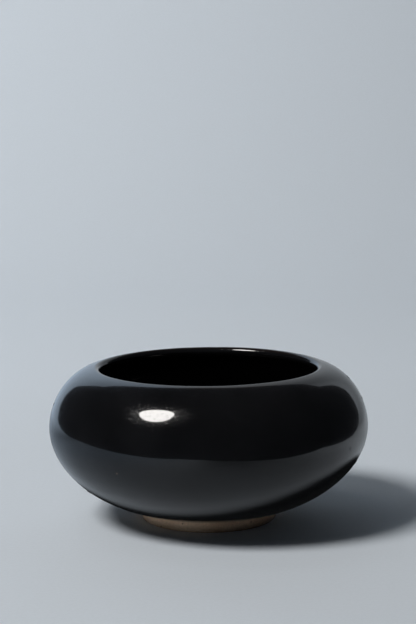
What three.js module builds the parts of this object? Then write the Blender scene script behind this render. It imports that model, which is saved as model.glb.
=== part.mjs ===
// A small glazed bowl of closed form, thrown in pale clay: the thrown clay body, the foot ring luted
// under it, the glaze on the outside and the glaze inside. Every piece is a solid of revolution.
// Units are millimetres and +Z is up. The origin is the centre of the circle that the bowl stands on.

import * as THREE from 'three';

// ---- driving dimensions ---------------------------------------------------------------------------

const bodyRadius = 50;           // widest radius, over the glaze
const bodyHeight = 48.4;         // standing face to the top of the lip, over the glaze
const widestHeight = 29.8;       // height of the widest ring
const mouthRadius = 34;          // clear radius of the mouth, over the glaze
const lipRadius = 1.5;           // roundness of the lip, over the glaze
const glazeThickness = 0.4;      // one coat of glaze
const wallAtFoot = 5;            // bare clay at the bottom of the wall; at the top the lip sets it
const bareBand = 0.8;            // clay left without glaze just above the foot ring

const lipSlope = THREE.MathUtils.degToRad(10.4);     // fall of the shoulder where it leaves the lip
const bellySlope = THREE.MathUtils.degToRad(11.9);   // rise of the belly where it leaves the foot
const shoulderRise = 7.4;        // how far the shoulder runs straight up from the widest ring
const shoulderReach = 9.1;       // how far it runs straight out from the lip
const bellyDrop = 12;            // how far the belly runs straight down from the widest ring
const bellyReach = 15.8;         // how far it runs straight out from the foot

const footHeight = 3.9;          // standing face to the underside of the body
const footTopRadius = 21.4;      // outside of the foot ring where it meets the body
const footBaseRadius = 21.1;     // outside of the foot ring just above the bevel
const footTopWidth = 6.2;        // width of the foot ring at the body
const footBaseWidth = 4.6;       // width of the foot ring just above the bevels
const footBevel = 0.8;           // bevel on both edges of the standing face

// ---- fineness of the mesh -------------------------------------------------------------------------

const turnSteps = 48;            // facets round a full turn
const curveSteps = 6;            // steps along the shoulder, and along the belly
const lipSteps = 5;              // steps round the lip
const floorSteps = 3;            // steps across the floor inside

// ---- outline of the clay --------------------------------------------------------------------------
// Outlines are in the half plane of one radius: x is the distance from the axis and y is the height.

const point = (x, y) => new THREE.Vector2(x, y);
const clayRadius = bodyRadius - glazeThickness;
const clayLipRadius = lipRadius - glazeThickness;
const wallAtLip = 2 * clayLipRadius;
const lipCentre = point(mouthRadius + lipRadius, bodyHeight - lipRadius);

/** Point at a distance and an angle from a centre; the angle is measured upwards from the outward line. */
function polar(centre, distance, angle) {
  return point(centre.x + distance * Math.cos(angle), centre.y + distance * Math.sin(angle));
}

/** The shoulder, from the lip down to the widest ring. */
function shoulderCurve() {
  const lipEnd = polar(lipCentre, clayLipRadius, Math.PI / 2 - lipSlope);
  return new THREE.CubicBezierCurve(
    lipEnd,
    polar(lipEnd, shoulderReach, -lipSlope),
    point(clayRadius, widestHeight + shoulderRise),
    point(clayRadius, widestHeight),
  );
}

/** The belly, from the widest ring down to the foot ring. */
function bellyCurve() {
  const footEnd = point(footTopRadius, footHeight);
  return new THREE.CubicBezierCurve(
    point(clayRadius, widestHeight),
    point(clayRadius, widestHeight - bellyDrop),
    polar(footEnd, bellyReach, bellySlope),
    footEnd,
  );
}

/** Stations down the outside of the clay: the point, the outward direction, and how far along it is. */
function outsideStations() {
  const stations = [];
  for (const [curve, firstStep] of [[shoulderCurve(), 0], [bellyCurve(), 1]]) {
    for (let step = firstStep; step <= curveSteps; step += 1) {
      const tangent = curve.getTangent(step / curveSteps);
      stations.push({ at: curve.getPoint(step / curveSteps), outward: point(-tangent.y, tangent.x) });
    }
  }
  let along = 0;
  stations.forEach((station, index) => {
    if (index > 0) along += station.at.distanceTo(stations[index - 1].at);
    station.along = along;
  });
  return stations;
}

const stations = outsideStations();
const outsideLength = stations.at(-1).along;

/** The outside of the clay moved outwards along its own normals, from the lip down. */
function outside(offset) {
  return stations.map(({ at, outward }) => at.clone().addScaledVector(outward, offset));
}

/** The inside of the clay moved inwards, from the lip down. The wall grows evenly towards the foot. */
function inside(offset) {
  return stations.map(({ at, outward, along }) => {
    const wall = THREE.MathUtils.lerp(wallAtLip, wallAtFoot, along / outsideLength);
    return at.clone().addScaledVector(outward, -wall - offset);
  });
}

/** The crest of the lip, at an offset from the clay. */
function lipCrest(offset) {
  return polar(lipCentre, clayLipRadius + offset, Math.PI / 2);
}

/** The round of the lip, from its crest inwards to just before the inner wall. */
function lipRound(offset) {
  const crestAngle = Math.PI / 2;
  const wallAngle = crestAngle - lipSlope + Math.PI;
  const points = [lipCrest(offset)];
  for (let step = 1; step < lipSteps; step += 1) {
    const angle = THREE.MathUtils.lerp(crestAngle, wallAngle, step / lipSteps);
    points.push(polar(lipCentre, clayLipRadius + offset, angle));
  }
  return points;
}

/** The dished floor, from the foot of the inner wall in to the axis, where it is level. */
function floor(wallEnd, slope) {
  const halfway = wallEnd.x / 2;
  const lowest = wallEnd.y - halfway * Math.tan(slope);
  const dish = new THREE.QuadraticBezierCurve(wallEnd, point(halfway, lowest), point(0, lowest));
  return dish.getPoints(floorSteps).slice(1);
}

/** The whole inside, from the crest of the lip to the axis, at an offset from the clay. */
function lining(offset) {
  const wall = inside(offset);
  const slope = bellySlope - Math.atan((wallAtFoot - wallAtLip) / outsideLength);
  return [...lipRound(offset), ...wall, ...floor(wall.at(-1), slope)];
}

/** The outside from the crest of the lip to where the glaze stops, at an offset from the clay. */
function coat(offset) {
  const wall = outside(offset);
  const footEnd = wall.pop();
  const lastStep = outsideLength - stations.at(-2).along;
  const glazeEnd = wall.at(-1).clone().lerp(footEnd, 1 - bareBand / lastStep);
  return [lipCrest(offset), ...wall, glazeEnd];
}

// ---- pieces ---------------------------------------------------------------------------------------

const glaze = { color: 0x0b0b0d, roughness: 0.06, metalness: 0 };
const clay = { color: 0xcbae8c, roughness: 0.85, metalness: 0 };

/** A named solid made by turning an outline about the vertical axis. */
function turned(name, outline, finish) {
  const geometry = new THREE.LatheGeometry(outline, turnSteps).rotateX(Math.PI / 2);
  const mesh = new THREE.Mesh(geometry, new THREE.MeshStandardMaterial(finish));
  mesh.name = name;
  return mesh;
}

function clayBody() {
  const glazedOutside = coat(0);
  const bareEnd = stations.at(-1).at;
  const outline = [point(0, footHeight), bareEnd, ...glazedOutside.reverse(), ...lining(0).slice(1)];
  return turned('clay_body', outline, clay);
}

function footRing() {
  const outline = [
    point(footTopRadius, footHeight),
    point(footTopRadius - footTopWidth, footHeight),
    point(footBaseRadius - footBaseWidth, footBevel),
    point(footBaseRadius - footBaseWidth + footBevel, 0),
    point(footBaseRadius - footBevel, 0),
    point(footBaseRadius, footBevel),
    point(footTopRadius, footHeight),
  ];
  return turned('foot_ring', outline, clay);
}

/** The coat that the outside was dipped in. It meets the lining at the crest of the lip. */
function outerGlaze() {
  const face = coat(glazeThickness);
  const back = coat(0);
  return turned('outer_glaze', [...back, ...face.reverse(), back[0]], glaze);
}

/** The glaze that was poured round the inside. */
function innerGlaze() {
  return turned('inner_glaze', [...lining(0).reverse(), ...lining(glazeThickness)], glaze);
}

const bowl = new THREE.Group();
bowl.add(clayBody(), footRing(), outerGlaze(), innerGlaze());

export default bowl;
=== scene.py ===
"""A small wheel-thrown bowl with a black mirror glaze on pale clay, lit softly on a pale sweep."""

import math
import random

import bmesh
import bpy
from bpy.props import (
    FloatProperty,
    FloatVectorProperty,
    IntProperty,
    PointerProperty,
)
from bpy.types import Operator, Panel, PropertyGroup
from mathutils import Matrix, Vector
from mathutils.geometry import interpolate_bezier


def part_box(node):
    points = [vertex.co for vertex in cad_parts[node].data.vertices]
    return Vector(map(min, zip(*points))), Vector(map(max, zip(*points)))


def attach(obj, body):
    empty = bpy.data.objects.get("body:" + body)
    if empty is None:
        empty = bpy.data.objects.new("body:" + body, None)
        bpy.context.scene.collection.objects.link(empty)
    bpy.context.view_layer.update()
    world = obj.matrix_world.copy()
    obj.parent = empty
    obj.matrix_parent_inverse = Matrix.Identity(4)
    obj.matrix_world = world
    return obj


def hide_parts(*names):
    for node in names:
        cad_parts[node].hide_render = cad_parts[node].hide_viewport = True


bl_info = {
    "name": "Black Glazed Bowl",
    "version": (1, 0, 0),
    "blender": (4, 5, 0),
    "location": "View3D > Sidebar > Bowl",
    "description": "Throws, glazes and lights a small black bowl around its packed frame",
    "category": "Add Mesh",
}

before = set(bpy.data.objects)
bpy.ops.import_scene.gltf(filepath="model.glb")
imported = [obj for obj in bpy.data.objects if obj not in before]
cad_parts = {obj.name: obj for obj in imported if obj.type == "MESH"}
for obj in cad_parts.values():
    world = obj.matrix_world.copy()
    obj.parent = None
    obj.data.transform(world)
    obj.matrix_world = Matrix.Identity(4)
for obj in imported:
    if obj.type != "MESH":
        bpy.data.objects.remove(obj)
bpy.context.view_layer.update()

MM = 0.001
BODY = "root"

coat_low, coat_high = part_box("outer_glaze")
clay_low, clay_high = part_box("clay_body")
foot_low, foot_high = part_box("foot_ring")


def lip_crest_radius():
    """Distance from the axis to the crest of the lip, where the outer coat is highest."""
    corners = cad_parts["outer_glaze"].data.vertices
    crest = [v.co for v in corners if v.co.z > coat_high.z - 0.01 * MM]
    return max(math.hypot(co.x, co.y) for co in crest)


def widest_ring_height():
    """Height of the ring where the outer coat stands furthest from the axis."""
    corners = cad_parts["outer_glaze"].data.vertices
    return max(corners, key=lambda v: (round(math.hypot(v.co.x, v.co.y) / MM, 3), v.co.z)).co.z


def standing_radii():
    """Inner and outer radius of the flat ring that the foot stands on."""
    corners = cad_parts["foot_ring"].data.vertices
    radii = [math.hypot(v.co.x, v.co.y) for v in corners if v.co.z < foot_low.z + 0.01 * MM]
    return min(radii), max(radii)


def length(name, description, default):
    """A size that is shown in the scene's own length unit."""
    return FloatProperty(
        name=name, description=description, default=default, subtype="DISTANCE", unit="LENGTH",
        precision=5,
    )


def angle(name, description, degrees):
    """An angle, given here in degrees."""
    return FloatProperty(
        name=name, description=description, default=math.radians(degrees), subtype="ANGLE",
        unit="ROTATION",
    )


def colour(name, description, default):
    """A colour in linear light."""
    return FloatVectorProperty(
        name=name, description=description, default=default, size=3, subtype="COLOR", min=0, max=1,
    )


# ---- settings ----


class BowlShape(PropertyGroup):
    """Sizes of the thrown form. The main ones come from the frame."""

    body_radius: length("Body radius", "Widest radius over the glaze", coat_high.x)
    body_height: length("Height", "Standing face to the top of the lip", coat_high.z)
    widest_height: length("Widest height", "Height of the widest ring", widest_ring_height())
    crest_radius: length("Crest radius", "Radius of the crest of the lip", lip_crest_radius())
    glaze: length("Glaze", "Thickness of one coat of glaze", coat_high.x - clay_high.x)
    lip_radius: length("Lip roundness", "Radius of the round of the lip, over the glaze", 1.5 * MM)
    wall_at_foot: length("Wall at foot", "Clay at the bottom of the wall", 5 * MM)
    lip_slope: angle("Lip slope", "Fall of the shoulder where it leaves the lip", 10.4)
    belly_slope: angle("Belly slope", "Rise of the belly where it leaves the foot", 11.9)
    shoulder_rise: length("Shoulder rise", "Straight run up from the widest ring", 7.4 * MM)
    shoulder_reach: length("Shoulder reach", "Straight run out from the lip", 9.1 * MM)
    belly_drop: length("Belly drop", "Straight run down from the widest ring", 12 * MM)
    belly_reach: length("Belly reach", "Straight run out from the foot", 15.8 * MM)
    foot_height: length("Foot height", "Standing face to the underside of the body", clay_low.z)
    foot_top_radius: length("Foot top", "Outside of the foot ring under the body", foot_high.x)
    foot_top_width: length("Foot top width", "Width of the foot ring under the body", 6.2 * MM)
    foot_edge: length("Foot edge", "Roundness of the edges that the foot stands on", 0.8 * MM)
    bare_band: length("Bare band", "Clay left without glaze above the foot", 0.8 * MM)
    steps_round: IntProperty(
        name="Steps round", description="Facets round a full turn", default=256, min=24,
    )


class HandWork(PropertyGroup):
    """What the hand leaves in a thrown bowl."""

    wobble: length("Wobble", "How far the surface wanders from a true turned one", 0.09 * MM)
    wobble_size: length("Wobble size", "Width of one wander", 17 * MM)
    lean: angle("Lean", "How much the lip is tipped, up on the right", 0.3)
    still_height: length("Still height", "Height up to which the bowl stands true", 9 * MM)
    ring_height: length("Throwing rings", "Depth of the rings left in the wall", 0.006 * MM)
    ring_pitch: length("Ring pitch", "Distance between throwing rings", 4.2 * MM)
    trim_height: length("Trim marks", "Depth of the spiral left by the trimming tool", 0.035 * MM)
    trim_pitch: length("Trim pitch", "Distance between trim marks", 1.1 * MM)
    foot_trim_height: length("Foot trim marks", "Depth of the spiral on the foot ring", 0.014 * MM)
    foot_trim_pitch: length("Foot trim pitch", "Distance between trim marks on the foot", 0.66 * MM)


class GlazeLook(PropertyGroup):
    """The black glaze and what is in it."""

    depth_colour: colour("Depth", "Colour deep in the glaze", (0.0035, 0.0036, 0.004))
    thin_colour: colour("Thin", "Colour where the glaze runs thin over an edge", (0.012, 0.008, 0.006))
    grain_colour: colour("Grain", "Colour of the pale grains", (0.55, 0.36, 0.22))
    pinholes: IntProperty(
        name="Pinholes", description="Healed pinholes in the coat", default=16, min=0,
    )
    pinhole_width: length("Pinhole width", "Width of a healed pinhole", 1.4 * MM)
    grains: IntProperty(
        name="Grains", description="Pale grains caught in the coat", default=6, min=0,
    )
    grain_width: length("Grain width", "Width of a pale grain", 0.4 * MM)
    seed: IntProperty(name="Seed", description="Chooses where the flaws fall", default=15)


class ClayLook(PropertyGroup):
    """The bare clay of the foot."""

    body_colour: colour("Clay", "Main colour of the fired clay", (0.92, 0.68, 0.48))
    toasted_colour: colour("Toasted", "Where the kiln has toasted the clay", (0.76, 0.52, 0.34))
    iron_colour: colour("Iron", "Iron specks in the clay", (0.10, 0.055, 0.03))
    # Painted shade: the clay is darkened towards the standing face, standing in for the shade near the
    # floor.
    painted_shade_height: length("Painted shade height", "How far the dark of the standing edge climbs", 3.2 * MM)
    painted_shade_level: FloatProperty(
        name="Painted shade level", description="Share of the clay's brightness left at the standing face",
        default=0.45, min=0, max=1, subtype="FACTOR",
    )


class StageLook(PropertyGroup):
    """Camera, lamps and sweep."""

    camera_distance: length("Camera distance", "From the axis, level with the table", 570 * MM)
    camera_height: length("Camera height", "Above the table", 148.6 * MM)
    camera_pitch: angle("Camera pitch", "How far the camera looks down", 8.31)
    camera_roll: angle("Camera roll", "Turn of the camera about its own line of sight", -0.29)
    lens: FloatProperty(name="Lens", description="Focal length in mm", default=106.5)
    lamp_distance: length("Lamp distance", "From the bowl to the lamps", 1.6)
    key_spread: angle("Key spread", "How wide the key lamp looks from the bowl", 19)
    key_glow: FloatProperty(
        name="Key glow", description="Radiance of the key lamp's face", default=28.5,
    )
    mirrored_spread: angle("Mirrored spread", "How wide the mirrored lamp looks from the bowl", 20.8)
    mirrored_glow: FloatProperty(
        name="Mirrored glow", description="Radiance of the mirrored lamp's face", default=20.5,
    )
    back_power: FloatProperty(
        name="Back light", description="Lamp over the back of the sweep", default=5.0, unit="POWER",
    )
    side_power: FloatProperty(
        name="Side light", description="Low soft light from the left", default=0.62, unit="POWER",
    )
    room_left: colour("Room, left", "Mirrored on the left of the glaze", (0.022, 0.025, 0.031))
    room_right: colour("Room, right", "Mirrored on the right of the glaze", (0.022, 0.024, 0.028))
    room_light: colour("Room light", "Dim light of the room on everything else", (0.012, 0.013, 0.015))
    sweep_colour: colour("Sweep", "Colour of the paper sweep", (0.67, 0.73, 0.79))
    # The mirrored sheet glows instead of being lit: its tint, glow and shadow level are painted light and a
    # painted shadow.
    left_tint: colour("Left tint", "Colour of the mirrored paper on the left", (0.62, 0.76, 0.93))
    paper_glow: FloatProperty(
        name="Paper glow", description="Brightness of the mirrored paper", default=0.62,
    )
    shadow_level: FloatProperty(
        name="Shadow level", description="Share of the mirrored paper's light left in the shadow",
        default=0.02, min=0, max=1, subtype="FACTOR",
    )


# ---- small builders ----


def connect(tree, socket, value):
    """Links a socket to another, or sets its value."""
    if isinstance(value, bpy.types.NodeSocket):
        tree.links.new(value, socket)
    elif isinstance(value, bpy.types.Node):
        tree.links.new(value.outputs[0], socket)
    else:
        socket.default_value = value


def add(tree, kind, inputs=None, **settings):
    """A node with its settings and inputs. Inputs are given by name or by number."""
    node = tree.nodes.new(kind)
    for name, value in settings.items():
        setattr(node, name, value)
    for key, value in (inputs or {}).items():
        connect(tree, node.inputs[key], value)
    return node


def maths(tree, operation, *values):
    """The result of a sum on one, two or three numbers."""
    return add(tree, "ShaderNodeMath", dict(enumerate(values)), operation=operation).outputs[0]


def product(tree, first, *others):
    """Numbers multiplied together."""
    for value in others:
        first = maths(tree, "MULTIPLY", first, value)
    return first


def vector_maths(tree, operation, *values):
    """The result of a sum on vectors. A scale takes its number last."""
    node = tree.nodes.new("ShaderNodeVectorMath")
    node.operation = operation
    sockets = [s for s in node.inputs if s.enabled]
    for socket, value in zip(sockets, values):
        connect(tree, socket, value)
    return enabled_socket(node.outputs)


def ramp(tree, factor, stops, interpolation="LINEAR"):
    """A colour ramp with stops of (place, grey or colour)."""
    node = add(tree, "ShaderNodeValToRGB", {0: factor})
    node.color_ramp.interpolation = interpolation
    elements = node.color_ramp.elements
    while len(elements) < len(stops):
        elements.new(0.5)
    for element, (place, shade) in zip(elements, stops):
        element.position = place
        element.color = (*shade, 1) if hasattr(shade, "__len__") else (shade, shade, shade, 1)
    return node.outputs[0]


def span(tree, value, source, target):
    """Carries a number smoothly from one range to another, and holds it at both ends."""
    ends = {"From Min": source[0], "From Max": source[1], "To Min": target[0], "To Max": target[1]}
    node = add(tree, "ShaderNodeMapRange", {"Value": value, **ends}, interpolation_type="SMOOTHSTEP")
    return node.outputs[0]


def blend(tree, factor, first, second, kind="MIX"):
    """One colour mixed with another. Each is a plain colour or comes from a node."""
    inputs = {"Factor": factor}
    for socket, colour_in in ((6, first), (7, second)):
        linked = isinstance(colour_in, bpy.types.NodeSocket)
        inputs[socket] = colour_in if linked else (*colour_in, 1)
    return add(tree, "ShaderNodeMix", inputs, data_type="RGBA", blend_type=kind).outputs[2]


def mix_numbers(tree, factor, first, second):
    """One number mixed with another."""
    return add(tree, "ShaderNodeMix", {"Factor": factor, 2: first, 3: second}).outputs[0]


def bump(tree, strength, depth, height, over=None, sunk=False):
    """Raises the surface by a height, or sinks it, over another bump where one is given."""
    inputs = {"Strength": strength, "Distance": depth, "Height": height}
    if over is not None:
        inputs["Normal"] = over
    return add(tree, "ShaderNodeBump", inputs, invert=sunk).outputs[0]


def set_inputs(tree, shader, values):
    """Sets or links inputs of a shader by name."""
    for name, value in values.items():
        connect(tree, shader.inputs[name], value)


def shaded(colour_in, share):
    """A colour made darker or lighter."""
    return tuple(share * c for c in colour_in)


def noise(tree, place, scale, detail):
    """Soft noise with so many waves to a metre."""
    return add(tree, "ShaderNodeTexNoise", {"Vector": place, "Scale": scale, "Detail": detail}).outputs[0]


def parts(tree, vector):
    """The X, Y and Z of a vector."""
    return add(tree, "ShaderNodeSeparateXYZ", {0: vector}).outputs


def object_place(tree):
    """The place of a point in the row frame, and its X, Y and Z."""
    place = add(tree, "ShaderNodeTexCoord").outputs["Object"]
    return place, parts(tree, place)


def enabled_socket(sockets, name=None):
    """The socket that a node uses with its present settings."""
    return next(s for s in sockets if s.enabled and name in (None, s.name))


def empty_tree(owner):
    """The node tree of a material or a world, emptied."""
    owner.use_nodes = True
    owner.node_tree.nodes.clear()
    return owner.node_tree


def new_material(name):
    """A node material with its output and a principled shader."""
    material = bpy.data.materials.new(name)
    tree = empty_tree(material)
    shader = add(tree, "ShaderNodeBsdfPrincipled")
    add(tree, "ShaderNodeOutputMaterial", {"Surface": shader.outputs[0]})
    return material, tree, shader


def new_object(name, data):
    """An object in the scene, at the origin."""
    thing = bpy.data.objects.new(name, data)
    bpy.context.scene.collection.objects.link(thing)
    return thing


def mesh_object(name, points, faces=()):
    """A mesh object in the row frame."""
    mesh = bpy.data.meshes.new(name)
    mesh.from_pydata(points, (), faces)
    return new_object(name, mesh)


def remove(*things):
    """Takes away helper objects that are no longer needed."""
    for thing in things:
        bpy.data.objects.remove(thing)


# ---- outlines ----
# An outline lies in the half plane of one radius: x is the distance from the axis and y the height.


def polar(centre, distance, turn):
    """The point at a distance and an angle from a centre, measured up from the outward line."""
    return centre + distance * Vector((math.cos(turn), math.sin(turn)))


def arc(centre, radius, start, end, steps):
    """Points of an arc, both ends included."""
    return [polar(centre, radius, start + (end - start) * i / steps) for i in range(steps + 1)]


def between(start, end, steps):
    """Points from a start up to just before an end."""
    return [start.lerp(end, i / steps) for i in range(steps)]


# A face that lies against another piece keeps only each fourth or third point.
COARSE_WALL, COARSE_LINING = 4, 3


class Wall:
    """The wall of the bowl: stations down the outside of the clay, from the lip to the foot."""

    CURVE_STEPS = 64

    def __init__(self, shape):
        self.shape = shape
        self.glaze = shape.glaze
        self.lip_radius = shape.lip_radius - shape.glaze
        self.lip_centre = Vector((shape.crest_radius, shape.body_height - shape.lip_radius))
        self.at, self.outward = [], []
        for handles, first in ((self.shoulder(), 0), (self.belly(), 1)):
            self.follow(handles, first)
        self.along = [0.0]
        for here, there in zip(self.at, self.at[1:]):
            self.along.append(self.along[-1] + (there - here).length)
        self.length = self.along[-1]

    def shoulder(self):
        """Ends and handles of the shoulder, from the lip down."""
        shape = self.shape
        lip_end = polar(self.lip_centre, self.lip_radius, math.pi / 2 - shape.lip_slope)
        widest = Vector((shape.body_radius - shape.glaze, shape.widest_height))
        return (
            lip_end,
            polar(lip_end, shape.shoulder_reach, -shape.lip_slope),
            widest + Vector((0, shape.shoulder_rise)),
            widest,
        )

    def belly(self):
        """Ends and handles of the belly, from the widest ring down."""
        shape = self.shape
        widest = Vector((shape.body_radius - shape.glaze, shape.widest_height))
        foot_end = Vector((shape.foot_top_radius, shape.foot_height))
        return (
            widest,
            widest - Vector((0, shape.belly_drop)),
            polar(foot_end, shape.belly_reach, shape.belly_slope),
            foot_end,
        )

    def follow(self, handles, first):
        """Adds stations along one curve."""
        a, b, c, d = handles
        for i in range(first, self.CURVE_STEPS + 1):
            t = i / self.CURVE_STEPS
            s = 1 - t
            self.at.append(s * s * s * a + 3 * s * s * t * b + 3 * s * t * t * c + t * t * t * d)
            tangent = (s * s * (b - a) + 2 * s * t * (c - b) + t * t * (d - c)).normalized()
            self.outward.append(Vector((-tangent.y, tangent.x)))

    def inside(self, offset):
        """The inside moved inwards, from the lip down. The wall grows evenly towards the foot."""
        at_lip = 2 * self.lip_radius
        grow = (self.shape.wall_at_foot - at_lip) / self.length
        rows = zip(self.at, self.outward, self.along)
        return [p - n * (at_lip + grow * s + offset) for p, n, s in rows]

    def lip(self, offset, side, steps):
        """The round of the lip from its crest: outwards to the shoulder, or inwards to the wall."""
        crest = math.pi / 2
        turn = -self.shape.lip_slope if side == "out" else math.pi - self.shape.lip_slope
        return arc(self.lip_centre, self.lip_radius + offset, crest, crest + turn, steps)

    def lining(self, offset, lip_steps=28, floor_steps=30):
        """The whole inside, from the crest of the lip to the axis."""
        wall = self.inside(offset)
        end = wall[-1]
        run = wall[-2] - end
        slope = run.y / run.x
        lowest = end.y - end.x / 2 * slope
        dish = []
        for i in range(1, floor_steps + 1):
            t = i / floor_steps
            height = (1 - t) ** 2 * end.y + (1 - (1 - t) ** 2) * lowest
            dish.append(Vector((end.x * (1 - t), height)))
        return [*self.lip(offset, "in", lip_steps)[:-1], *wall, *dish]

    def glaze_end(self):
        """How far along the outside the glaze stops."""
        return self.length - self.shape.bare_band

    def coat_thickness(self, along):
        """Even over the wall, a little thick where it has run down to its end, and rounded off there."""
        to_end = self.glaze_end() - along
        if to_end <= 0:
            return 0.0
        run_width, roll_width, run_share = 2.2 * MM, 0.55 * MM, 0.35
        run = 1 + run_share * math.exp(-((to_end / run_width) ** 2))
        short = max(0.0, 1 - to_end / roll_width)
        return self.glaze * run * math.sqrt(1 - short * short)

    def stop_at(self, along):
        """The point on the clay at a way along the outside."""
        for i in range(1, len(self.along)):
            if self.along[i] >= along:
                share = (along - self.along[i - 1]) / (self.along[i] - self.along[i - 1])
                return self.at[i - 1].lerp(self.at[i], share), self.outward[i]
        return self.at[-1], self.outward[-1]


def refined(end, step, reach):
    """Ways along the outside that are close together over the last reach before an end."""
    count = round(reach / step)
    return [end - reach * i / count for i in range(count, -1, -1)]


def coat_outline(wall):
    """The outer coat: its face from the crest of the lip down to its rolled end, and its back."""
    fine_step, fine_reach, spare, back_stop = 0.05 * MM, 0.7 * MM, 0.1 * MM, 0.8 * MM
    end = wall.glaze_end()
    fine = refined(end, fine_step, fine_reach)
    face = wall.lip(wall.glaze, "out", 6)[:-1]
    for point, outward, along in zip(wall.at, wall.outward, wall.along):
        if along < fine[0] - spare:
            face.append(point + outward * wall.coat_thickness(along))
    for along in fine:
        point, outward = wall.stop_at(along)
        face.append(point + outward * wall.coat_thickness(along))
    back = [p for p, s in zip(wall.at, wall.along) if s < end - back_stop]
    return [*face, *back[::-COARSE_WALL], wall.lip(0, "out", 1)[0], face[0]]


def lining_outline(wall):
    """The lining: its face from the axis up to the crest of the lip, and its back."""
    face = wall.lining(wall.glaze)
    back = wall.lining(0, 6, 6)
    return [*face[::-1], back[0], *back[1:-1:COARSE_LINING], back[-1]]


def body_outline(wall):
    """The clay body, from the axis under its base, up the outside and down the inside."""
    edge = wall.at[-1]
    base = between(Vector((0, edge.y)), edge, 40)
    seen = wall.length - 2 * MM
    band = [p for p, s in zip(wall.at, wall.along) if s > seen]
    rest = [p for p, s in zip(wall.at, wall.along) if s <= seen]
    inner = wall.lining(0, 6, 6)
    return [*base, *band[::-1], *rest[::-COARSE_WALL], *inner[::COARSE_LINING], inner[-1]]


def foot_outline(wall):
    """The foot ring, with round standing edges and clay smoothed into the joint above it."""
    shape = wall.shape
    edge, height = shape.foot_edge, shape.foot_height
    inner_flat, outer_flat = standing_radii()
    outer_top = Vector((shape.foot_top_radius, height))
    inner_top = outer_top - Vector((shape.foot_top_width, 0))
    outer_side = Vector((outer_flat + edge, edge))
    inner_side = Vector((inner_flat - edge, edge))
    luting = 0.8 * MM
    below_joint = outer_top.lerp(outer_side, luting / (outer_top - outer_side).length)
    on_belly = polar(outer_top, luting, shape.belly_slope)
    return [
        *between(inner_top, inner_side, 12),
        *arc(Vector((inner_flat, edge)), edge, math.pi, math.pi * 1.5, 8),
        *between(Vector((inner_flat, 0)), Vector((outer_flat, 0)), 8)[1:],
        *arc(Vector((outer_flat, edge)), edge, -math.pi / 2, 0, 10),
        *between(outer_side, below_joint, 14)[1:],
        *interpolate_bezier(below_joint, outer_top, outer_top, on_belly, 9),
        inner_top,
    ]


# ---- throwing: one node tree turns every outline ----


def outline_object(name, points):
    """An outline as a straight-sided curve in the XZ plane, for the turning tree to read."""
    curve = bpy.data.curves.new(name, "CURVE")
    curve.dimensions = "3D"
    spline = curve.splines.new("POLY")
    spline.points.add(len(points) - 1)
    for spot, point in zip(spline.points, points):
        spot.co = (point.x, 0, point.y, 1)
    return new_object(name, curve)


RIPPLE_FADE = 0.6 * MM
STILL_FROM = 0.4 * MM
MERGE_DISTANCE = 0.0005 * MM
CREASE_ANGLE = math.radians(32)


def new_tree(name, **inputs):
    """A geometry node tree with named inputs, and their sockets inside it."""
    tree = bpy.data.node_groups.new(name, "GeometryNodeTree")
    for label, kind in inputs.items():
        label = label.replace("_", " ").title()
        tree.interface.new_socket(name=label, in_out="INPUT", socket_type="NodeSocket" + kind)
    tree.interface.new_socket(name="Geometry", in_out="OUTPUT", socket_type="NodeSocketGeometry")
    return tree, tree.nodes.new("NodeGroupInput").outputs


def field(tree, name):
    """A value that every point, edge or face of a geometry has."""
    return tree.nodes.new("GeometryNodeInput" + name).outputs[0]


def end_tree(tree, geometry, finish):
    """Ends a tree in real geometry with its finish."""
    real = add(tree, "GeometryNodeRealizeInstances", {"Geometry": geometry})
    finished = add(tree, "GeometryNodeSetMaterial", {"Geometry": real, "Material": finish})
    add(tree, "NodeGroupOutput", {0: finished})


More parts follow.
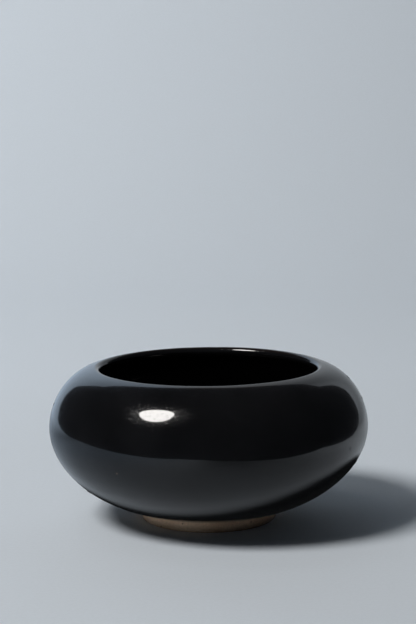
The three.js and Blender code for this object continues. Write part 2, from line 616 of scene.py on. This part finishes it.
def turning_tree():
    """Turns an outline on the wheel: spiral rings, a slow wobble of the hand, and a slight lean."""
    name = "Turned on the Wheel"
    if name in bpy.data.node_groups:
        return bpy.data.node_groups[name]
    tree, given = new_tree(
        name, outline="Object", steps_round="Int", ring_height="Float", ring_pitch="Float",
        wobble="Float", wobble_size="Float", lean="Float", still_height="Float", finish="Material",
    )

    outline = add(tree, "GeometryNodeObjectInfo", {"Object": given["Outline"]}).outputs["Geometry"]
    rows = add(tree, "GeometryNodeAttributeDomainSize", {0: outline}, component="CURVE")
    columns = maths(tree, "ADD", given["Steps Round"], 1.0)
    cloth = add(tree, "GeometryNodeMeshGrid", {
        "Size X": 1.0, "Size Y": 1.0, "Vertices X": rows.outputs["Point Count"], "Vertices Y": columns,
    })
    index = field(tree, "Index")
    row = maths(tree, "FLOOR", maths(tree, "DIVIDE", maths(tree, "ADD", index, 0.5), columns))
    column = maths(tree, "SUBTRACT", index, product(tree, row, columns))
    share = maths(tree, "DIVIDE", column, given["Steps Round"])
    turn = product(tree, share, 2 * math.pi)

    def of_outline(value, kind):
        """A value of the outline at this row."""
        inputs = {0: outline, "Index": row}
        node = add(tree, "GeometryNodeSampleIndex", inputs, data_type=kind, domain="POINT")
        tree.links.new(value, enabled_socket(node.inputs, "Value"))
        return enabled_socket(node.outputs)

    spot = parts(tree, of_outline(field(tree, "Position"), "FLOAT_VECTOR"))
    tangent = parts(tree, of_outline(field(tree, "Tangent"), "FLOAT_VECTOR"))
    along = of_outline(tree.nodes.new("GeometryNodeSplineParameter").outputs["Length"], "FLOAT")

    pitch = given["Ring Pitch"]
    turns = maths(tree, "DIVIDE", along, pitch)
    phase = maths(tree, "ADD", product(tree, turns, 2 * math.pi), turn)
    from_axis = add(tree, "ShaderNodeClamp", {0: maths(tree, "DIVIDE", spot["X"], pitch)})
    ring = product(tree, maths(tree, "COSINE", phase), given["Ring Height"])
    off_table = add(tree, "ShaderNodeClamp", {0: maths(tree, "DIVIDE", spot["Z"], RIPPLE_FADE)})
    ring = product(tree, ring, from_axis, off_table)
    radius = maths(tree, "MULTIPLY_ADD", ring, tangent["Z"], spot["X"])
    height = maths(tree, "SUBTRACT", spot["Z"], product(tree, ring, tangent["X"]))
    turned = add(tree, "ShaderNodeCombineXYZ", {
        "X": product(tree, radius, maths(tree, "COSINE", turn)),
        "Y": product(tree, radius, maths(tree, "SINE", turn)),
        "Z": height,
    }).outputs[0]

    lift = span(tree, height, (STILL_FROM, given["Still Height"]), (0.0, 1.0))
    wander = add(tree, "ShaderNodeTexNoise", {
        "Vector": turned, "Scale": maths(tree, "DIVIDE", 1.0, given["Wobble Size"]),
        "Detail": 1.0, "Roughness": 0.4,
    }).outputs["Color"]
    wander = vector_maths(tree, "SUBTRACT", wander, (0.5, 0.5, 0.5))
    both_ways = product(tree, lift, 2.0)
    wander = vector_maths(tree, "SCALE", wander, product(tree, given["Wobble"], both_ways))
    slope = maths(tree, "TANGENT", given["Lean"])
    tip = product(tree, parts(tree, turned)["X"], slope, lift)
    tipped = add(tree, "ShaderNodeCombineXYZ", {"Z": tip}).outputs[0]
    final = vector_maths(tree, "ADD", vector_maths(tree, "ADD", turned, wander), tipped)

    shaped = add(tree, "GeometryNodeSetPosition", {"Geometry": cloth.outputs["Mesh"], "Position": final})
    closed = add(tree, "GeometryNodeMergeByDistance", {"Geometry": shaped, "Distance": MERGE_DISTANCE})
    smooth = add(tree, "GeometryNodeSetShadeSmooth", {"Geometry": closed}, domain="FACE")
    sharp = maths(tree, "GREATER_THAN", field(tree, "MeshEdgeAngle"), CREASE_ANGLE)
    creased = add(tree, "GeometryNodeSetShadeSmooth", {
        "Geometry": smooth, "Selection": sharp, "Shade Smooth": False,
    }, domain="EDGE")
    end_tree(tree, creased, given["Finish"])
    return tree


def run_tree(name, tree, values):
    """Runs a node tree on an empty mesh with its named inputs, and returns the result as a plain mesh."""
    piece = mesh_object(name, [])
    modifier = piece.modifiers.new(tree.name, "NODES")
    modifier.node_group = tree
    for item in tree.interface.items_tree:
        if item.in_out == "INPUT" and item.name in values:
            modifier[item.identifier] = values[item.name]
    evaluated = piece.evaluated_get(bpy.context.evaluated_depsgraph_get())
    mesh = bpy.data.meshes.new_from_object(evaluated)
    piece.modifiers.clear()
    piece.data = mesh
    mesh.name = name
    return piece


def throw(scene, name, outline_of, finish, rings):
    """One turned piece: its outline, its finish, and the height and pitch of the spiral rings in it."""
    shape, hand = scene.bowl_shape, scene.bowl_hand
    ring_height, ring_pitch = rings
    outline = outline_object(name + "_outline", outline_of(Wall(shape)))
    piece = run_tree(name, turning_tree(), {
        "Outline": outline, "Steps Round": shape.steps_round,
        "Ring Height": ring_height, "Ring Pitch": ring_pitch,
        "Wobble": hand.wobble, "Wobble Size": hand.wobble_size,
        "Lean": hand.lean, "Still Height": hand.still_height, "Finish": finish,
    })
    remove(outline)
    return piece


# ---- flaws: one node tree scatters every kind ----

FLAW_SPREAD = (0.6, 1.1)
GRAIN_FLATNESS = 0.35
PINHOLE_RISE = 0.09
SUNK = 0.01
ROOT_DEPTH = 0.1


def scatter_tree():
    """Scatters copies of a shape over the outside of a coat, and sets one on each marked place too."""
    name = "Scattered in the Glaze"
    if name in bpy.data.node_groups:
        return bpy.data.node_groups[name]
    tree, given = new_tree(
        name, coat="Object", marks="Object", shape="Object", count="Int", width="Float", seed="Int",
        finish="Material",
    )
    coat, marks, shape = (
        add(tree, "GeometryNodeObjectInfo", {"Object": given[label]}).outputs["Geometry"]
        for label in ("Coat", "Marks", "Shape")
    )
    normal = field(tree, "Normal")
    position = field(tree, "Position")
    from_axis = vector_maths(tree, "MULTIPLY", position, (1.0, 1.0, 0.0))
    outside = maths(tree, "GREATER_THAN", vector_maths(tree, "DOT_PRODUCT", normal, from_axis), 0.0)
    area = field(tree, "MeshFaceArea")
    areas = add(tree, "GeometryNodeAttributeStatistic", {0: coat, 1: outside, 2: area}, domain="FACE")
    density = maths(tree, "DIVIDE", given["Count"], areas.outputs["Sum"])
    scattered = add(tree, "GeometryNodeDistributePointsOnFaces", {
        "Mesh": coat, "Selection": outside, "Density": density, "Seed": given["Seed"],
    }).outputs["Points"]
    marked = add(tree, "GeometryNodeMeshToPoints", {"Mesh": marks}).outputs[0]
    places = tree.nodes.new("GeometryNodeJoinGeometry")
    for points in (marked, scattered):
        tree.links.new(points, places.inputs[0])

    surface = add(tree, "GeometryNodeSampleNearestSurface", {"Mesh": coat}, data_type="FLOAT_VECTOR")
    tree.links.new(normal, enabled_socket(surface.inputs, "Value"))
    upright = enabled_socket(surface.outputs)
    facing = add(tree, "FunctionNodeAlignRotationToVector", {"Vector": upright}, axis="Z")
    smallest, largest = FLAW_SPREAD
    spread = {2: smallest, 3: largest, "Seed": given["Seed"]}
    share = add(tree, "FunctionNodeRandomValue", spread, data_type="FLOAT").outputs[1]
    size = product(tree, share, given["Width"])
    copies = add(tree, "GeometryNodeInstanceOnPoints", {
        "Points": places.outputs[0], "Instance": shape, "Rotation": facing, "Scale": size,
    })
    end_tree(tree, copies, given["Finish"])
    return tree


def place_on(coat, turn, height):
    """The place on the outside of a coat at a height and a turn from the front, in degrees to the right."""
    turn = math.radians(turn)
    outward = Vector((math.sin(turn), -math.cos(turn), 0))
    found, place, *_ = coat.ray_cast(outward + Vector((0, 0, height)), -outward)
    if not found:
        raise RuntimeError("no glaze at that height")
    return place


def scatter(name, shape, coat, marks, count, width, finish, seed):
    """One kind of flaw over the whole coat, with some on marked places: (turn, height) each."""
    marked = mesh_object(name + "_marks", [place_on(coat, *mark) for mark in marks])
    shape.data.shade_smooth()
    piece = run_tree(name, scatter_tree(), {
        "Coat": coat, "Marks": marked, "Shape": shape, "Count": count, "Width": width, "Seed": seed,
        "Finish": finish,
    })
    remove(marked, shape)
    return piece


def grain_shape():
    """A lumpy grain one unit wide, lying flat and half sunk in the glaze."""
    lumps = random.Random(3)
    form = bmesh.new()
    bmesh.ops.create_icosphere(form, subdivisions=2, radius=0.5)
    for corner in form.verts:
        corner.co *= lumps.uniform(0.8, 1.1)
        corner.co.z *= GRAIN_FLATNESS
    shape = mesh_object("grain", [])
    form.to_mesh(shape.data)
    form.free()
    return shape


def pinhole_shape(around=16, across=6):
    """A healed pinhole one unit wide: a low round lip with a dimple in it."""
    points = []
    for i in range(1, across + 1):
        share = i / across
        height = PINHOLE_RISE * math.sin(math.pi * share ** 1.5) - SUNK
        for k in range(around):
            turn = 2 * math.pi * k / around
            points.append((share / 2 * math.cos(turn), share / 2 * math.sin(turn), height))
    faces = []
    for row in range(across - 1):
        for k in range(around):
            here, there = row * around + k, row * around + (k + 1) % around
            faces.append((here, here + around, there + around, there))
    middle, under = len(points), len(points) + 1
    points += [(0, 0, -SUNK), (0, 0, -ROOT_DEPTH)]
    edge = (across - 1) * around
    for k in range(around):
        there = (k + 1) % around
        faces += [(middle, k, there), (under, edge + there, edge + k)]
    return mesh_object("pinhole", points, faces)


# ---- finishes ----


def black_glaze(look):
    """Near-black glaze: a mirror surface with slow waves, over a depth with a faint sparkle."""
    pools, waves, pits, sparkles = 60.0, 190.0, 3200.0, 3800.0
    pool_shade, thin_depth, pit_share, pit_reach = 2.2, 0.7 * MM, 0.2, 0.45
    material, tree, shader = new_material("Black glaze")
    place, spot = object_place(tree)
    pool = ramp(tree, noise(tree, place, pools, 4.0), [(0.35, 0.0), (0.75, 1.0)])
    depth = blend(tree, pool, look.depth_colour, shaded(look.depth_colour, pool_shade))
    thin = span(tree, spot["Z"], (coat_high.z - thin_depth, coat_high.z), (0.0, 1.0))

    cells = add(tree, "ShaderNodeTexVoronoi", {"Vector": place, "Scale": pits}).outputs
    lot = add(tree, "ShaderNodeSeparateColor", {0: cells["Color"]}).outputs[0]
    chosen = maths(tree, "GREATER_THAN", lot, 1 - pit_share)
    pit = product(tree, span(tree, cells["Distance"], (0.0, pit_reach), (1.0, 0.0)), chosen)
    wave = bump(tree, 0.12, 0.02 * MM, noise(tree, place, waves, 2.0))
    set_inputs(tree, shader, {
        "Base Color": blend(tree, thin, depth, look.thin_colour),
        "Normal": bump(tree, 0.9, 0.02 * MM, noise(tree, place, sparkles, 3.0)),
        "Coat Normal": bump(tree, 0.42, 0.03 * MM, pit, over=wave, sunk=True),
        "Roughness": 0.2, "IOR": 1.5, "Specular IOR Level": 0.06,
        "Coat Weight": 1.0, "Coat Roughness": 0.015, "Coat IOR": 1.5,
    })
    return material


def bare_clay(look):
    """Fired clay without glaze: fine grain, iron specks, toasted patches, faint tool lines, and painted
    shade that darkens it towards the standing face.
    """
    clouds, grains, specks, lines = 90.0, 2600.0, 420.0, 2400.0
    line_stretch, line_share = 0.04, 0.6
    material, tree, shader = new_material("Bare clay")
    place, spot = object_place(tree)
    grain = noise(tree, place, grains, 3.0)
    toast = ramp(tree, noise(tree, place, clouds, 5.0), [(0.38, 0.0), (0.68, 1.0)])
    base = blend(tree, toast, look.body_colour, look.toasted_colour)
    base = blend(tree, 1.0, base, ramp(tree, grain, [(0.3, 0.78), (0.7, 1.12)]), "MULTIPLY")
    iron = add(tree, "ShaderNodeTexVoronoi", {"Vector": place, "Scale": specks}).outputs["Distance"]
    base = blend(tree, ramp(tree, iron, [(0.05, 1.0), (0.13, 0.0)]), base, look.iron_colour)
    # Painted shade: the clay's colour is scaled down towards the standing face, where the foot meets the
    # floor's shade.
    painted_shade = span(tree, spot["Z"], (0.0, look.painted_shade_height), (look.painted_shade_level, 1.0))

    along = {"Vector": place, "Scale": (line_stretch, line_stretch, 1.0)}
    stretched = add(tree, "ShaderNodeMapping", along).outputs[0]
    tooled = product(tree, noise(tree, stretched, lines, 2.0), line_share)
    set_inputs(tree, shader, {
        "Base Color": vector_maths(tree, "SCALE", base, painted_shade),
        "Roughness": maths(tree, "MULTIPLY_ADD", grain, 0.15, 0.72),
        "Normal": bump(tree, 0.7, 0.06 * MM, maths(tree, "ADD", tooled, grain)),
        "Specular IOR Level": 0.35,
    })
    return material


def pale_grain(look):
    """A grain of pale clay caught in the glaze."""
    material, tree, shader = new_material("Pale grain")
    place, _ = object_place(tree)
    stops = [(0.35, shaded(look.grain_colour, 0.35)), (0.65, tuple(look.grain_colour))]
    base = ramp(tree, noise(tree, place, 2500.0, 2.0), stops)
    set_inputs(tree, shader, {"Base Color": base, "Roughness": 0.4})
    return material


def paper(look):
    """Matt paper of the sweep, with a soft unevenness."""
    unevenness = 0.015
    material, tree, shader = new_material("Sweep paper")
    place, _ = object_place(tree)
    base = ramp(tree, noise(tree, place, 900.0, 3.0), [
        (0.3, shaded(look.sweep_colour, 1 - unevenness)),
        (0.7, shaded(look.sweep_colour, 1 + unevenness)),
    ])
    set_inputs(tree, shader, {"Base Color": base, "Roughness": 0.9, "Specular IOR Level": 0.2})
    return material


def mirrored_paper(look):
    """The paper as the glaze mirrors it, painted as a glowing sheet: painted light, dim in front and at the
    back right, with a painted shadow of the bowl.
    """
    material = bpy.data.materials.new("Mirrored paper")
    tree = empty_tree(material)
    place, spot = object_place(tree)
    x, y = spot["X"], spot["Y"]

    # Each span goes from places on the floor, in metres, to shares of the paper's painted light.
    across = add(tree, "ShaderNodeMapRange", {"Value": x, "From Min": -0.06, "From Max": 0.16}).outputs[0]
    front_shares = [(0.12, 1.2), (0.25, 0.6), (0.37, 0.25), (0.5, 0.3), (0.85, 0.75)]
    front = ramp(tree, across, front_shares, "B_SPLINE")
    floor = mix_numbers(tree, span(tree, y, (-0.03, -0.13), (0.0, 1.0)), 0.76, front)
    right_side = span(tree, x, (0.06, 0.16), (1.0, 1.5))
    floor = product(tree, floor, right_side, span(tree, y, (0.02, 0.1), (1.0, 0.72)))
    far_side = span(tree, x, (0.3, 0.45), (0.0, 0.3))
    back = maths(tree, "ADD", span(tree, x, (-0.25, 0.3), (1.2, 0.5)), far_side)
    level = mix_numbers(tree, span(tree, y, (0.08, 0.3), (0.0, 1.0)), floor, back)

    # A painted shadow of the bowl: a soft disc where the glow drops to the shadow level.
    centre, radius, soft = (12.5 * MM, 26.2 * MM, 0.0), 60 * MM, 5.5 * MM
    level_place = vector_maths(tree, "MULTIPLY", place, (1.0, 1.0, 0.0))
    from_centre = vector_maths(tree, "DISTANCE", level_place, centre)
    painted_shadow_share = span(tree, from_centre, (radius - soft, radius + soft), (look.shadow_level, 1.0))
    # Painted light: the glow turns to the bluer left tint towards the left.
    leftwards = span(tree, x, (0.0, -0.14), (0.0, 1.0))
    glow = add(tree, "ShaderNodeEmission", {
        "Color": blend(tree, leftwards, look.sweep_colour, look.left_tint),
        "Strength": product(tree, level, painted_shadow_share, look.paper_glow),
    })
    add(tree, "ShaderNodeOutputMaterial", {"Surface": glow})
    return material


def clay_finish(scene):
    """The bare clay that several pieces share."""
    return bpy.data.materials.get("Bare clay") or bare_clay(scene.bowl_clay)


def glaze_finish(scene):
    """The black glaze that several pieces share."""
    return bpy.data.materials.get("Black glaze") or black_glaze(scene.bowl_glaze)


# ---- operators ----


class BOWL_OT_throw_body(Operator):
    """Throw the clay body"""

    bl_idname = "bowl.throw_body"
    bl_label = "Throw Body"

    def execute(self, context):
        scene = context.scene
        rings = (scene.bowl_hand.trim_height, scene.bowl_hand.trim_pitch)
        piece = throw(scene, "thrown_body", body_outline, clay_finish(scene), rings)
        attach(piece, BODY)
        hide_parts("clay_body")
        return {"FINISHED"}


class BOWL_OT_trim_foot(Operator):
    """Trim the foot ring"""

    bl_idname = "bowl.trim_foot"
    bl_label = "Trim Foot"

    def execute(self, context):
        scene = context.scene
        rings = (scene.bowl_hand.foot_trim_height, scene.bowl_hand.foot_trim_pitch)
        piece = throw(scene, "trimmed_foot", foot_outline, clay_finish(scene), rings)
        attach(piece, BODY)
        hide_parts("foot_ring")
        return {"FINISHED"}


class BOWL_OT_dip_outside(Operator):
    """Dip the outside in black glaze"""

    bl_idname = "bowl.dip_outside"
    bl_label = "Dip Outside"

    def execute(self, context):
        scene = context.scene
        rings = (scene.bowl_hand.ring_height, scene.bowl_hand.ring_pitch)
        piece = throw(scene, "glaze_coat", coat_outline, glaze_finish(scene), rings)
        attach(piece, BODY)
        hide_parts("outer_glaze")
        return {"FINISHED"}


class BOWL_OT_pour_inside(Operator):
    """Pour black glaze round the inside"""

    bl_idname = "bowl.pour_inside"
    bl_label = "Pour Inside"

    def execute(self, context):
        scene = context.scene
        rings = (scene.bowl_hand.ring_height, scene.bowl_hand.ring_pitch)
        piece = throw(scene, "glaze_lining", lining_outline, glaze_finish(scene), rings)
        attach(piece, BODY)
        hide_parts("inner_glaze")
        return {"FINISHED"}


class BOWL_OT_scatter_flaws(Operator):
    """Set pinholes and pale grains in the glaze"""

    bl_idname = "bowl.scatter_flaws"
    bl_label = "Scatter Flaws"

    def execute(self, context):
        scene = context.scene
        look = scene.bowl_glaze
        coat = bpy.data.objects["glaze_coat"]
        widest = scene.bowl_shape.widest_height
        hole_marks = [(9.8, widest + 10.5 * MM), (24.0, widest + 1.5 * MM)]
        holes = scatter(
            "glaze_pinholes", pinhole_shape(), coat, hole_marks,
            look.pinholes, look.pinhole_width, glaze_finish(scene), look.seed,
        )
        grains = scatter(
            "glaze_grains", grain_shape(), coat, [(-33.5, widest - 6.3 * MM)],
            look.grains, look.grain_width, pale_grain(look), look.seed + 1,
        )
        for piece, finish in ((holes, "black_glaze"), (grains, "bare_clay")):
            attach(piece, BODY)
        return {"FINISHED"}


class BOWL_OT_set_stage(Operator):
    """Set up the sweep, the lamps and the camera"""

    bl_idname = "bowl.set_stage"
    bl_label = "Set Stage"

    def execute(self, context):
        look = context.scene.bowl_stage
        lay_sweep(look)
        lay_painted_paper_reflection(look)
        hang_lamps(look)
        light_room(context.scene, look)
        place_camera(context.scene, look)
        return {"FINISHED"}


# ---- stage ----


def sheet(name, rows, finish):
    """A smooth sheet through rows that run from left to right: each row is (left, right, y, z)."""
    points = []
    for left, right, y, z in rows:
        points += [(left, y, z), (right, y, z)]
    faces = [(i, i + 1, i + 3, i + 2) for i in range(0, len(points) - 2, 2)]
    thing = mesh_object(name, points, faces)
    thing.data.shade_smooth()
    thing.data.materials.append(finish)
    return thing


def bend(back, radius, steps):
    """The side view of paper that curves up behind: (y, z) from the end of the flat."""
    turns = [math.pi / 2 * i / steps for i in range(1, steps + 1)]
    return [(back + radius * math.sin(t), radius * (1 - math.cos(t))) for t in turns]


def lay_sweep(look):
    """The wide sweep that is seen. The glaze doesn't mirror it."""
    reach, bend_start, bend_radius, top = 3.0, 0.5, 0.7, 1.9
    side = [(-reach, 0), (bend_start, 0), *bend(bend_start, bend_radius, 32)]
    side.append((bend_start + bend_radius, top))
    wide = sheet("sweep", [(-reach, reach, y, z) for y, z in side], paper(look))
    wide.visible_glossy = False


def lay_painted_paper_reflection(look):
    """The smaller glowing sheet that only the glaze mirrors, a painted reflection of the paper, from its
    front edge to the top of its bend.
    """
    front, left, far_right, top = -0.157, -0.40, 0.47, 0.6
    bend_start, bend_radius, bend_right, full_width_height = 0.24, 0.4, 0.325, 0.13
    rows = [
        (-0.05, -0.01, front, 0), (-0.28, 0.175, -0.04, 0), (-0.36, 0.18, 0.02, 0),
        (left, 0.2, 0.08, 0), (left, 0.245, 0.143, 0), (left, 0.29, 0.2, 0),
    ]
    for y, z in bend(bend_start, bend_radius, 20):
        widening = min(1, z / full_width_height) ** 0.45
        rows.append((left, bend_right + (far_right - bend_right) * widening, y, z))
    rows.append((left, far_right, bend_start + bend_radius, top))
    small = sheet("mirrored_paper", rows, mirrored_paper(look))
    small.data.transform(Matrix.Translation((0, 0, 0.1 * MM)))
    small.visible_camera = False
    small.visible_diffuse = False
    small.visible_shadow = False


def aim(thing, place, target):
    """Puts an object in a place and points it at a target."""
    thing.location = place
    thing.rotation_mode = "QUATERNION"
    thing.rotation_quaternion = (Vector(target) - Vector(place)).to_track_quat("-Z", "Y")


def area_lamp(name, shape, size, power, tint, place, target):
    """A soft lamp that shines from a place towards a target."""
    data = bpy.data.lights.new(name, "AREA")
    data.shape = shape
    data.size = size
    data.energy = power
    data.color = tint
    lamp = new_object(name, data)
    aim(lamp, place, target)
    return lamp


# The spot at the front of the shoulder that the round lamps face.
SHOULDER = Vector((-15.3, -43.5, 41.5)) * MM


def round_lamp(name, look, towards, spread, glow, tint):
    """A round lamp at the lamps' distance, facing the shoulder. A disc's power follows from its glow."""
    width = 2 * look.lamp_distance * math.tan(spread / 2)
    power = glow * math.pi * math.pi * (width / 2) ** 2
    place = SHOULDER + Vector(towards).normalized() * look.lamp_distance
    return area_lamp(name, "DISK", width, power, tint, place, SHOULDER)


def hang_lamps(look):
    """The key lamp high on the left, the lamp that the glaze mirrors, and two that fill in."""
    warm, plain, cool = (1.0, 0.975, 0.95), (0.99, 0.995, 1.0), (0.93, 0.97, 1.0)
    key = round_lamp("key_lamp", look, (-0.70, -0.42, 1.0), look.key_spread, look.key_glow, warm)
    mirrored = round_lamp(
        "mirrored_lamp", look, (-0.49, -0.34, 0.80), look.mirrored_spread, look.mirrored_glow, warm,
    )
    mirrored.visible_diffuse = False
    back = area_lamp(
        "back_lamp", "SQUARE", 0.6, look.back_power, plain, (-0.5, 0.3, 1.0), (-0.3, 1.2, 0.7),
    )
    side = area_lamp(
        "side_lamp", "SQUARE", 0.1, look.side_power, cool, (-0.9, -0.35, 0.055), (0, 0, 0.005),
    )
    for lamp in (key, back, side):
        lamp.visible_glossy = False


def light_room(scene, look):
    """A dim room, less dim on the left. The camera sees it as pale as the sweep."""
    world = bpy.data.worlds.new("room")
    scene.world = world
    tree = empty_tree(world)
    path = add(tree, "ShaderNodeLightPath").outputs
    direction = add(tree, "ShaderNodeTexCoord").outputs["Generated"]
    sideways = parts(tree, direction)["X"]
    shade = ramp(tree, maths(tree, "MULTIPLY_ADD", sideways, 0.5, 0.5), [
        (0.2, tuple(look.room_left)), (0.75, tuple(look.room_right)),
    ])
    mirrored = add(tree, "ShaderNodeBackground", {"Color": shade})
    dim = add(tree, "ShaderNodeBackground", {"Color": (*look.room_light, 1)})
    pale = add(tree, "ShaderNodeBackground", {"Color": (*shaded(look.sweep_colour, 0.75), 1)})
    unseen = add(tree, "ShaderNodeMixShader", {0: path["Is Glossy Ray"], 1: dim, 2: mirrored})
    room = add(tree, "ShaderNodeMixShader", {0: path["Is Camera Ray"], 1: unseen, 2: pale})
    add(tree, "ShaderNodeOutputWorld", {"Surface": room})
    scene.view_settings.view_transform = "Standard"


def place_camera(scene, look):
    """The camera, a little above the bowl and looking slightly down at it."""
    data = bpy.data.cameras.new("camera")
    data.lens = look.lens
    camera = new_object("camera", data)
    tilt = Matrix.Rotation(math.pi / 2 - look.camera_pitch, 4, "X")
    roll = Matrix.Rotation(look.camera_roll, 4, "Z")
    place = Matrix.Translation((0, -look.camera_distance, look.camera_height))
    camera.matrix_world = place @ tilt @ roll
    scene.camera = camera


class BOWL_PT_workshop(Panel):
    """Sizes and finishes of the bowl, and the steps that make it"""

    bl_idname = "BOWL_PT_workshop"
    bl_label = "Black Glazed Bowl"
    bl_space_type = "VIEW_3D"
    bl_region_type = "UI"
    bl_category = "Bowl"

    def draw(self, context):
        layout = self.layout
        for step in STEPS:
            layout.operator(step.bl_idname)
        for group in SETTINGS:
            box = layout.box()
            settings = getattr(context.scene, group)
            for name in SETTINGS[group].__annotations__:
                box.prop(settings, name)


SETTINGS = {
    "bowl_shape": BowlShape, "bowl_hand": HandWork, "bowl_glaze": GlazeLook, "bowl_clay": ClayLook,
    "bowl_stage": StageLook,
}
STEPS = (
    BOWL_OT_throw_body, BOWL_OT_trim_foot, BOWL_OT_dip_outside, BOWL_OT_pour_inside,
    BOWL_OT_scatter_flaws, BOWL_OT_set_stage,
)


def register():
    """Registers the settings, the steps and the panel."""
    for group, kind in SETTINGS.items():
        bpy.utils.register_class(kind)
        setattr(bpy.types.Scene, group, PointerProperty(type=kind))
    for kind in (*STEPS, BOWL_PT_workshop):
        bpy.utils.register_class(kind)


def unregister():
    """Takes everything away again."""
    for kind in (BOWL_PT_workshop, *reversed(STEPS)):
        bpy.utils.unregister_class(kind)
    for group, kind in reversed(SETTINGS.items()):
        delattr(bpy.types.Scene, group)
        bpy.utils.unregister_class(kind)


def main():
    """Makes the bowl and its stage, step by step."""
    register()
    bpy.ops.bowl.throw_body()
    bpy.ops.bowl.trim_foot()
    bpy.ops.bowl.dip_outside()
    bpy.ops.bowl.pour_inside()
    bpy.ops.bowl.scatter_flaws()
    bpy.ops.bowl.set_stage()


if __name__ == "__main__":
    main()
